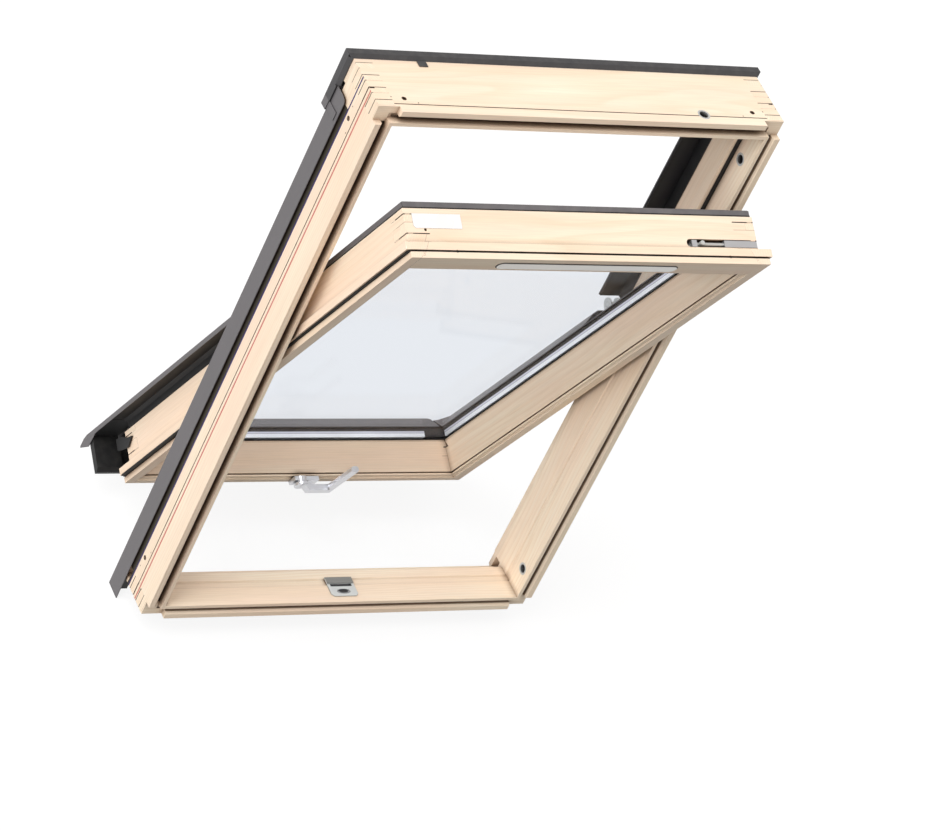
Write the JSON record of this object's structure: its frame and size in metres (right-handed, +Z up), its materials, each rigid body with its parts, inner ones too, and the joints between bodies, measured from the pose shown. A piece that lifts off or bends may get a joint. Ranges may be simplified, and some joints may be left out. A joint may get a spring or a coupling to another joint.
{
  "type": "centre pivot roof window",
  "caption": "Pine framed roof window whose double glazed sash turns on a pivot at mid height, with folded sheet cladding, a vent bar and a bottom handle.",
  "frame": {"origin": "middle of the frame's underside, on the line of the standard installation depth marked on the jambs", "axes": "+X to the right seen from the room, +Y to the weather side, +Z up the slope of the frame; modelled upright with the sash open by 25 degrees"},
  "size_m": [0.796, 0.5966, 1.2295],
  "materials": {
    "pine": "clear satin lacquer on pale pine",
    "grey_cladding": "satin paint on folded aluminium sheet",
    "black_plastic": "matte",
    "black_rubber": "matte",
    "clear_glass": "clear polished",
    "bright_spacer": "bright mill finish",
    "zinc": "zinc plated",
    "silver_metal": "satin silver",
    "grey_plastic": "satin",
    "white_plate": "bare, smooth"
  },
  "bodies": {
    "frame": {"frame_head": "pine", "frame_sill": "pine", "frame_jamb_left": "pine", "frame_jamb_right": "pine", "frame_seal": "black_rubber", "bolt_bushes": "zinc", "keeper_plate": "zinc", "head_cladding": "grey_cladding", "head_strap": "grey_cladding", "side_cladding_left": "grey_cladding", "side_cladding_right": "grey_cladding", "upper_cover_left": "grey_cladding", "upper_cover_right": "grey_cladding", "upper_lining_left": "black_plastic", "upper_lining_right": "black_plastic", "corner_tabs": "grey_cladding", "end_seals": "black_rubber", "frame_hinges": "zinc"},
    "sash": {"sash_head": "pine", "sash_bottom_rail": "pine", "sash_stile_left": "pine", "sash_stile_right": "pine", "inner_pane": "clear_glass", "outer_pane": "clear_glass", "spacer_bar": "bright_spacer", "glazing_seal": "black_rubber", "cladding_seal": "black_rubber", "sash_seal": "black_rubber", "sash_head_strip": "grey_cladding", "sash_edge_strips": "grey_cladding", "side_cover_left": "grey_cladding", "side_cover_right": "grey_cladding", "cover_liner_left": "black_plastic", "cover_liner_right": "black_plastic", "bottom_cover": "grey_cladding", "bottom_skirt": "black_plastic", "end_block_left": "black_plastic", "end_block_right": "black_plastic", "sash_hinges": "zinc", "bolt_housing": "zinc", "bolt_rod": "zinc", "vent_bar": "grey_plastic", "type_plate": "white_plate", "handle_base": "silver_metal"},
    "lever": {"handle_lever": "silver_metal"}
  },
  "joints": [
    {"name": "sash pivot", "type": "hinge", "parent": "frame", "child": "sash", "pos_m": [0, 0.0844, 0.6428], "axis": [1, 0, 0], "range_deg": [-25, 150]},
    {"name": "handle turn", "type": "hinge", "parent": "sash", "child": "lever", "pos_m": [-0.002, 0.21019, 0.06922], "axis": [0, -0.9063, -0.4226], "range_deg": [0, 90]}
  ]
}
